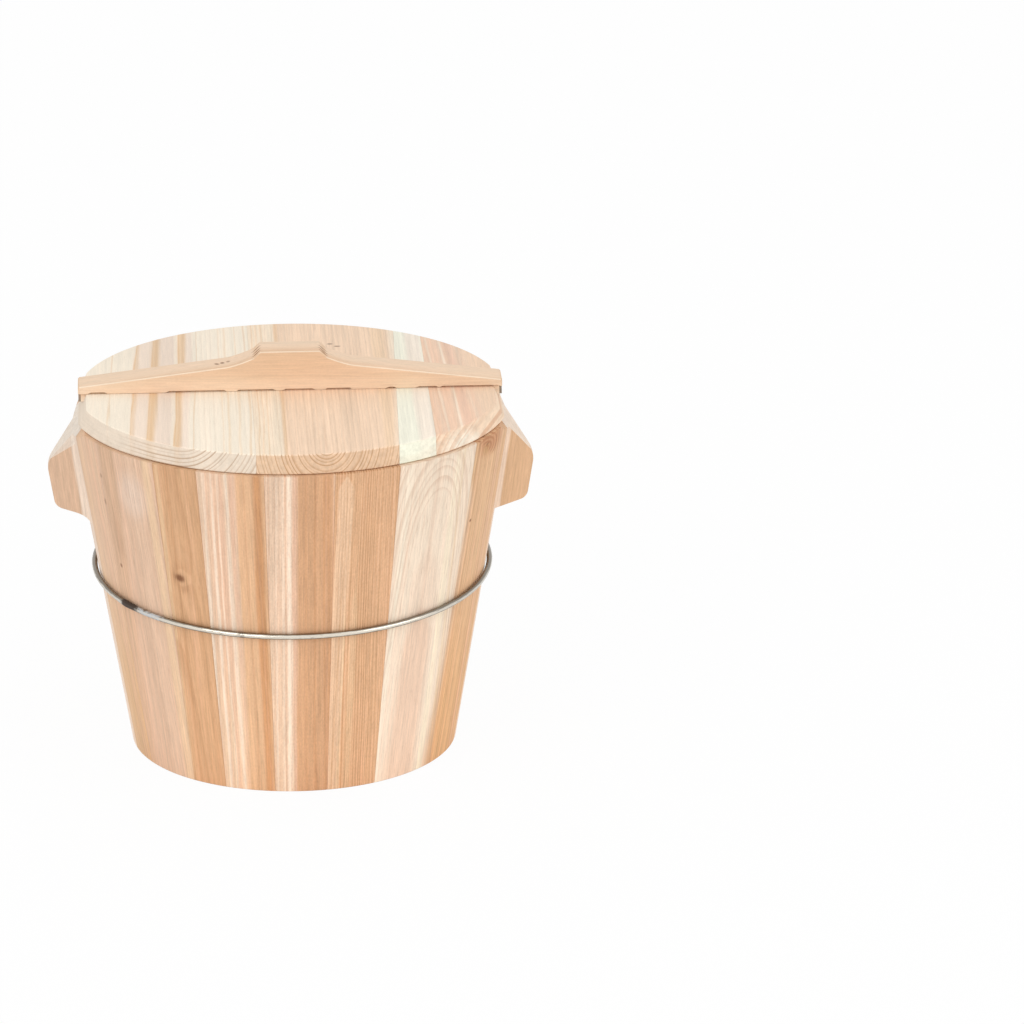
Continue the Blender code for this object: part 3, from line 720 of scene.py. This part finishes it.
def makeHoop():
    reach, place = hoopPlace()
    turns = [math.tau * i / hoop["sides"] for i in range(hoop["sides"])]
    rings = []
    for step in range(hoop["steps"]):
        angle = 360.0 * step / hoop["steps"]
        away = (angle - hoop["weld"] + 180) % 360 - 180
        swell = hoop["swell"] * math.exp(-(away / hoop["weldHalf"]) ** 2)
        middle = reach + swell + hoop["sidePlay"] * math.sin(math.radians(angle)) ** 2
        wire = hoop["wire"] + swell
        rings.append([place @ polar(angle, middle + wire * math.cos(t), wire * math.sin(t)) for t in turns])
    addPiece("hoop_wire", loft(rings, closed=True), steelFinish(), "wire_hoop", hoop["crisp"])
    print("hoop")


makeHoop()

# lid: planks sawn from one round board, left to right, with a dovetail groove across them
lid = {
    "radius": 0.16, "topRadius": 0.1555, "ease": 0.0008, "segments": 240, "gap": 0.00008,
    "joints": (-0.0286, 0.0778, 0.101), "slants": (0.0, 0.028, 0.0),
    "flatBottom": 0.1553, "flatTop": 0.149,  # the outer planks are trimmed flat at the sides
    "neck": 0.0196, "foot": 0.0246, "grooveDepth": 0.0058, "grooveMiddle": 0.00375,
    "grooveRise": 0.01, "grooveReach": 0.2,
}
amber = (230, 190, 144)
blossom = (243, 220, 202)
plankWood = (
    {"early": (250, 237, 217), "late": (184, 152, 122), "pith": (-0.086, 0.026), "leftSide": 0.12,
     "ring": 0.0029, "contrast": 0.12, "lateSpan": (0.5, 0.92), "blushing": 0.06, "skirt": (226, 209, 190),
     "skirtShare": 0.8, "endLines": 6.0, "sway": 0.002, "fibre": 0.2, "streak": 0.22, "pore": 0.06,
     "seed": 2.0,
     "bands": (*bands(blossom, 0.025, (-0.108, 0.006, 0.6), (-0.092, 0.0065, 0.7),
             (-0.077, 0.004, 0.6)),
         *bands(amber, 0.025, (-0.1141, 0.0003, 0.9), (-0.1131, 0.0014, 0.5, 0.9), (-0.1022, 0.0004, 0.8),
             (-0.0999, 0.0026, 0.85, 0.8), (-0.0826, 0.0004, 0.9), (-0.0807, 0.002, 0.8, 0.9),
             (-0.0698, 0.0004, 0.5), (-0.132, 0.0005, 0.4)),
         *bands(yolk, 0.0, (-0.046, 0.0008, 0.4), (-0.05, 0.0005, 0.3), (-0.038, 0.0006, 0.35)),
         band(-0.031, 0.0007, amber, 0.4))},
    {"early": (249, 230, 205), "late": (188, 142, 102), "pith": (0.022, 0.006), "ring": 0.0026,
     "contrast": 0.2, "lateSpan": (0.45, 0.92), "blushing": 0.1, "skirt": (220, 184, 150),
     "skirtShare": 0.8, "endLines": 3.8, "sway": 0.002, "fibre": 0.3, "pore": 0.08, "seed": 5.0,
     "bands": (band(0.0345, 0.0425, (244, 213, 184), 0.95, 0.0, None, 0.06),
         *bands(amber, 0.0, (-0.007, 0.0014, 0.5), (-0.0255, 0.0004, 0.45), (-0.022, 0.0004, 0.4),
             (-0.0185, 0.0005, 0.4)),
         band(0.069, 0.005, yolk, 0.35), band(0.086, 0.01, cream, 0.8, 0.03)),
     "spots": (spot(0.102, 0.0325, 0.0018, 0.0026, 0.6), spot(0.096, 0.0378, 0.0014, 0.0026, 0.75))},
    {"early": (244, 241, 222), "late": (226, 206, 180), "pith": (0.084, 0.06), "ring": 0.005,
     "contrast": 0.16, "blushing": 0.0, "skirt": (238, 238, 216), "skirtShare": 0.6, "fibre": 0.25,
     "pore": 0.05, "seed": 8.0,
     "bands": (band(0.095, 0.006, (248, 230, 214), 0.7),)},
    {"early": (241, 208, 181), "late": (220, 176, 142), "pith": (0.15, -0.045), "lean": (-0.04, 0.0),
     "ring": 0.0045, "contrast": 0.36, "skirt": (241, 216, 189), "skirtShare": 0.7, "fibre": 0.3,
     "pore": 0.08, "seed": 11.0,
     "bands": (band(0.107, 0.0008, cream, 0.7, -0.03), band(0.1175, 0.0013, cream, 0.8, -0.04),
         band(0.123, 0.003, (240, 200, 178), 0.5, -0.04), band(0.1295, 0.001, cream, 0.4, -0.05),
         band(0.148, 0.014, (243, 216, 187), 0.6, -0.06)),
     "spots": (spot(-0.1035, 0.1225, 0.026, 0.0045, 0.9, 0.7, (248, 244, 228)),)},
)


def dovetail(x, neck, foot, bottom, top):
    half = [(foot, bottom), (neck, lidTop), (neck, top)]
    around = [(-foot, bottom)] + half + [(-y, z) for y, z in half[:0:-1]]
    return [(x, lid["grooveMiddle"] + y, z) for y, z in around]


def lidBoard():  # round, with a bevelled, eased edge
    edge = [(lid["radius"] - inset, lidBottom + rise) for inset, rise in corner(lid["ease"])]
    edge += [(lid["topRadius"] - inset, lidTop - rise) for inset, rise in corner(lid["ease"])[::-1]]
    count = lid["segments"]
    return loft([[polar(360 * i / count, radius, z) for i in range(count)] for radius, z in edge])


def makeLid():
    edges = [(-lid["radius"], 0.0), *zip(lid["joints"], lid["slants"]), (lid["radius"], 0.0)]
    place = lying((0, 0, lidTop), yAxis, xAxis)
    reach = lid["grooveReach"]
    cut = lid["neck"] / 2, lid["foot"] / 2, lidTop - lid["grooveDepth"], lidTop + lid["grooveRise"]
    for number, (left, right) in enumerate(zip(edges, edges[1:]), 1):
        node = "lid_plank_%d" % number
        shape = lidBoard()
        for (end, slant), side in ((left, -1), (right, 1)):
            if abs(end) < lid["radius"]:
                saw(shape, (end - side * lid["gap"] / 2, 0, 0), (side, -side * slant, 0))
            else:
                trim = (side * (lidTop - lidBottom), 0, lid["flatBottom"] - lid["flatTop"])
                saw(shape, (side * lid["flatBottom"], 0, lidBottom), trim)
        groove = loft([dovetail(x, *cut) for x in (-reach, reach)])
        shape = joined(shape, groove, "DIFFERENCE")
        finish = woodFinish(node + "_wood", place, plankWood[number - 1])
        addPiece(node + "_sawn", shape, finish, node, bucket["crisp"])
    print("lid: %d planks" % (len(edges) - 1))


makeLid()

# batten with the raised grip, on its dovetail tongue
batten = {
    "halfLength": 0.1553, "front": -0.009, "back": 0.0165, "chamfer": 0.0017, "seat": 0.0003, "crisp": 28.0,
    "grip": 0.0302, "cut": 0.0254, "shoulder": 0.0186, "end": 0.0057,  # heights above the lid
    "gripX": 0.0217, "cutX": 0.0267, "shoulderX": 0.0485,              # and how far out they reach
    "gripInner": 0.01, "gripEase": (-0.0006, 0.0003), "cutEase": 0.0008,
    "power": 1.4, "curveSteps": 12, "slopeSteps": 8,  # curve from cut to shoulder, then a straight slope
    "endRound": 0.001, "endStep": 0.0003, "endTaper": 0.7,
    "tongue": 0.1551, "neck": 0.019, "foot": 0.024, "tongueDepth": 0.0055, "tongueRise": 0.003,
    "paintedShadowEnd": 0.0018,                      # painted shadow: dark stretch at each end of the tongue
    "hollow": 0.0012, "hollowEnd": 0.0015,  # the underside stands off the lid along these stretches
    "hollows": ((-0.147, -0.135), (-0.09, -0.048), (-0.0394, -0.0117), (-0.0045, 0.017), (0.026, 0.044),
                (0.071, 0.077), (0.093, 0.108), (0.11, 0.1534)),
}
battenWood = {
    "early": (240, 212, 183), "heart": (227, 191, 157), "late": (212, 168, 130), "heartSpan": (0.02, 0.036),
    "pith": (-0.03, 0.028), "lean": (0.01, 0.0), "ring": 0.0026, "contrast": 0.12, "seed": 4.4,
    "streak": 0.16, "drift": 0.16, "fibre": 0.3, "pore": 0.1, "blushing": 0.12,
    "endTone": (214, 176, 136), "endShare": 0.6, "chamferHighlightShare": 0.6,
    "spots": (
        spot(-0.0535, 0.002, 0.0016, 0.003, 0.7, 0.5), spot(-0.0495, 0.003, 0.0018, 0.0024, 0.8, 0.3),
        spot(-0.0453, 0.004, 0.0016, 0.0022, 0.6, 0.3),
        *[spot(-0.0243, across, 0.0034, 0.0011, 0.9) for across in (-0.0045, 0.0004, 0.0062)],
        *[spot(0.0243, across, 0.0034, 0.0011, 0.9) for across in (-0.0055, -0.001, 0.0044)],
    ),
}
# painted shadow: dark wood for the tongue's ends, where they show under the batten
weathered = {
    **battenWood, "early": (146, 130, 112), "heart": (136, 120, 102), "late": (108, 92, 76),
    "endTone": (124, 108, 92), "endShare": 0.9, "chamferHighlightShare": 0.0, "spots": (),
}


def battenHeight(x):
    x = abs(x)
    steps = ((0.0, batten["grip"]), (batten["gripX"], batten["grip"]), (batten["cutX"], batten["cut"]))
    for (left, high), (right, low) in zip(steps, steps[1:]):
        if x <= right:
            return high + (low - high) * (x - left) / (right - left)
    if x <= batten["shoulderX"]:
        part = (x - batten["cutX"]) / (batten["shoulderX"] - batten["cutX"])
        return batten["shoulder"] + (batten["cut"] - batten["shoulder"]) * (1 - part) ** batten["power"]
    part = (x - batten["shoulderX"]) / (batten["halfLength"] - batten["shoulderX"])
    return batten["shoulder"] + (batten["end"] - batten["shoulder"]) * part


def battenStations():  # where along its length the batten's section is drawn
    grip, cut, shoulder, reach = [batten[name] for name in ("gripX", "cutX", "shoulderX", "halfLength")]
    curve, slope, brink = batten["curveSteps"], batten["slopeSteps"], batten["hollowEnd"]
    right = [0.0, batten["gripInner"], *[grip + step for step in batten["gripEase"]]]
    right += [(grip + cut) / 2, cut - batten["cutEase"]]
    right += [cut + (shoulder - cut) * (i / curve) for i in range(curve + 1)]
    right += [shoulder + (reach - shoulder) * i / slope for i in range(1, slope)]
    right += [reach - inset for inset in (batten["endRound"], batten["endStep"], 0.0)]
    brinks = [x + step for pair in batten["hollows"] for x in pair for step in (-brink, brink)]
    return sorted([-x for x in right[:0:-1]] + right + brinks)


def makeBatten():
    reach, endRound = batten["halfLength"], batten["endRound"]
    rings = []
    for x in battenStations():
        shrink = batten["endTaper"] * (endRound - min(reach - abs(x), endRound))
        front, back = batten["front"] + shrink, batten["back"] - shrink
        top = lidTop + battenHeight(x) - shrink
        hollow = any(low < x < high for low, high in batten["hollows"])
        seat = lidTop + batten["seat"] + hollow * batten["hollow"]
        rim = [(inset, top - drop) for inset, drop in corner(batten["chamfer"])]
        outline = [(front, seat), *[(front + inset, z) for inset, z in rim[::-1]]]
        outline += [*[(back - inset, z) for inset, z in rim], (back, seat)]
        rings.append([(x, y, z) for y, z in outline])
    tip = batten["tongue"]
    dark = tip - batten["paintedShadowEnd"]
    bottom, top = lidTop - batten["tongueDepth"], lidTop + batten["tongueRise"]
    cut = batten["neck"] / 2, batten["foot"] / 2, bottom, top
    tongue = loft([dovetail(x, *cut) for x in (-tip, -dark, dark, tip)])
    shape = joined(loft(rings), tongue, "UNION")
    place = lying((0, 0, lidTop), xAxis, yAxis)
    finish = woodFinish("batten_wood", place, battenWood)
    piece = addPiece("batten_carved", shape, finish, "lid_batten", batten["crisp"])
    piece.data.materials.append(woodFinish("batten_tongue_painted_shadow", place, weathered))
    for face in piece.data.polygons:
        if abs(face.center.x) > dark and face.center.z < lidTop:  # ends of the tongue, darkened as painted shadow
            face.material_index = 1
    print("batten")


makeBatten()

# grate, seen when the lid is off
grate = {"radius": 0.1085, "slats": 7, "arcSteps": 8, "ease": 0.0009, "easeSteps": 2, "easeAngle": 40.0,
         "crisp": 30.0, "draw": 9, "pithAcross": (-0.03, 0.03), "pithDepth": (-0.05, -0.01)}
grateWood = {"early": (240, 208, 174), "heart": (228, 188, 148), "late": (204, 156, 112),
             "heartSpan": (0.03, 0.05), "ring": 0.0028, "contrast": 0.3}


def easeEdges(piece):
    soft = piece.modifiers.new("ease", "BEVEL")
    soft.width = grate["ease"]
    soft.segments = grate["easeSteps"]
    soft.limit_method = "ANGLE"
    soft.angle_limit = math.radians(grate["easeAngle"])


def boardOutline(radius, near, far):  # a board cut from a disc, as points along and across it
    first, last = [math.asin(max(-1.0, min(1.0, cut / radius))) for cut in (near, far)]
    turns = [first + (last - first) * i / grate["arcSteps"] for i in range(grate["arcSteps"] + 1)]
    right = [(radius * math.cos(t), radius * math.sin(t)) for t in turns]
    return right + [(-along, across) for along, across in right[::-1] if along > 1e-6]  # no point twice


def makeGrate():
    draw = random.Random(grate["draw"])
    names = ["grate_slat_%d" % i for i in range(1, grate["slats"] + 1)]
    names += ["grate_bearer_left", "grate_bearer_right"]
    for number, node in enumerate(names):
        low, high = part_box(node)
        flare = wallSlope * (high.z - low.z)
        slat = "slat" in node
        foot = grate["radius"] if slat else grate["radius"] - flare  # the bearers sit under the slats
        grain, axis = (xAxis, yAxis) if slat else (yAxis, xAxis)
        rings = []
        for radius, z in ((foot, low.z), (foot + flare, high.z)):
            outline = boardOutline(radius, low.dot(axis), high.dot(axis))
            rings.append([grain * along + axis * across + zAxis * z for along, across in outline])
        pith = (draw.uniform(*grate["pithAcross"]), draw.uniform(*grate["pithDepth"]))
        look = {**grateWood, "pith": pith, "seed": number * seedStep["grate"]}
        finish = woodFinish(node + "_wood", lying((low + high) / 2, grain, axis), look)
        easeEdges(addPiece(node + "_planed", loft(rings), finish, node, grate["crisp"]))
    print("grate: %d pieces" % len(names))


makeGrate()

# bamboo pins and pegs keep their own shapes
bambooLook = {"early": (228, 204, 152), "heart": (222, 194, 138), "late": (188, 152, 98),
              "heartSpan": (0.02, 0.03), "ring": 0.0011, "contrast": 0.5, "sway": 0.001}


def dressBamboo():
    for number, (node, thing) in enumerate(frame["nodes"].items()):
        if slotOf[node] != "bamboo":
            continue
        low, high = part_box(node)
        middle = (low + high) / 2
        outward = Vector((middle.x, middle.y, 0)).normalized()
        grain = outward if "peg" in node else Vector((-outward.y, outward.x, 0))
        if "lid" in node:
            grain = xAxis
        look = {**bambooLook, "seed": number * seedStep["bamboo"]}
        finish = woodFinish(node + "_bamboo", lying(middle, grain, zAxis.cross(grain)), look)
        thing.data.materials.clear()
        thing.data.materials.append(finish)
    print("bamboo pins and pegs")


dressBamboo()

# studio: white sweep, even soft light
studio = {
    "floor": 0.92, "floorHalf": 9, "white": 0.95, "world": 0.86, "aim": (0, 0, 0.14),
    "key": ((-1.6, -2.4, 1.7), 1.8, 20.0), "fill": ((2.3, -1.6, 1.2), 1.6, 11.0),  # place, size, watts
}


def seenRays(start):  # what the camera sees, straight or in a reflection
    seen = start.make("LightPath", out="Is Camera Ray")
    for ray in ("Is Glossy Ray", "Is Transmission Ray"):
        seen = start.math("MAXIMUM", seen, start.make("LightPath", out=ray))
    return seen


def makeFloor():
    half = studio["floorHalf"]
    mesh = bpy.data.meshes.new("floor")
    corners = [(-half, -half, 0), (half, -half, 0), (half, half, 0), (-half, half, 0)]
    mesh.from_pydata(corners, [], [(0, 1, 2, 3)])
    floor = setOut("floor", mesh)
    floor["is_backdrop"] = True
    paper, start = newFinish("paper")
    seen = seenRays(start) * studio["white"]
    matte = start.make("BsdfDiffuse", {}, {"Color": (studio["floor"],) * 3 + (1.0,)})
    white = start.make("Emission", {}, {"Color": (1, 1, 1, 1), "Strength": 1.0})
    start.make("OutputMaterial", {}, {"Surface": start.make("MixShader", {}, {0: seen, 1: matte, 2: white})})
    mesh.materials.append(paper)


def makeLight():
    world = bpy.data.worlds.new("studio")
    bpy.context.scene.world = world
    world.use_nodes = True
    world.node_tree.nodes.clear()
    start = Sock(world.node_tree)
    seen = seenRays(start)
    light = start.make("Background", {}, {"Color": (1, 1, 1, 1), "Strength": studio["world"]})
    white = start.make("Background", {}, {"Color": (1, 1, 1, 1), "Strength": 1.0})
    start.make("OutputWorld", {}, {"Surface": start.make("MixShader", {}, {0: seen, 1: light, 2: white})})
    for name in ("key", "fill"):
        place, size, watts = studio[name]
        lamp = bpy.data.lights.new(name, "AREA")
        lamp.energy = watts
        lamp.size = size
        stand = setOut(name, lamp)
        stand.location = place
        stand.visible_camera = False
        aim = Vector(studio["aim"]) - Vector(place)
        stand.rotation_euler = aim.to_track_quat("-Z", "Y").to_euler()


makeFloor()
makeLight()
print("studio")

# camera: a long lens, panned so that the steamer stands left of the middle
shot = {"azimuth": -0.02465, "elevation": 0.34247, "distance": 4.44854, "aim": 0.14, "pitch": 0.33544,
        "pan": -0.0635, "focalPixels": 6000.0, "framePixels": 1024.0, "sensor": 36.0, "farthest": 50.0}


def makeCamera():
    data = bpy.data.cameras.new("shot")
    data.sensor_width = shot["sensor"]
    data.lens = shot["focalPixels"] / shot["framePixels"] * data.sensor_width
    data.clip_end = shot["farthest"]
    camera = setOut("shot", data)
    level = shot["distance"] * math.cos(shot["elevation"])
    camera.location = (level * math.sin(shot["azimuth"]), -level * math.cos(shot["azimuth"]),
                       shot["aim"] + shot["distance"] * math.sin(shot["elevation"]))
    camera.rotation_euler = (math.pi / 2 - shot["pitch"], 0, shot["pan"])
    bpy.context.scene.camera = camera
    bpy.context.scene.view_settings.view_transform = "Standard"
    print("camera")


makeCamera()

boxes = {"cad": [list(point) for point in cadBox], "visual": [list(point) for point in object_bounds()]}
print("sizes", boxes)
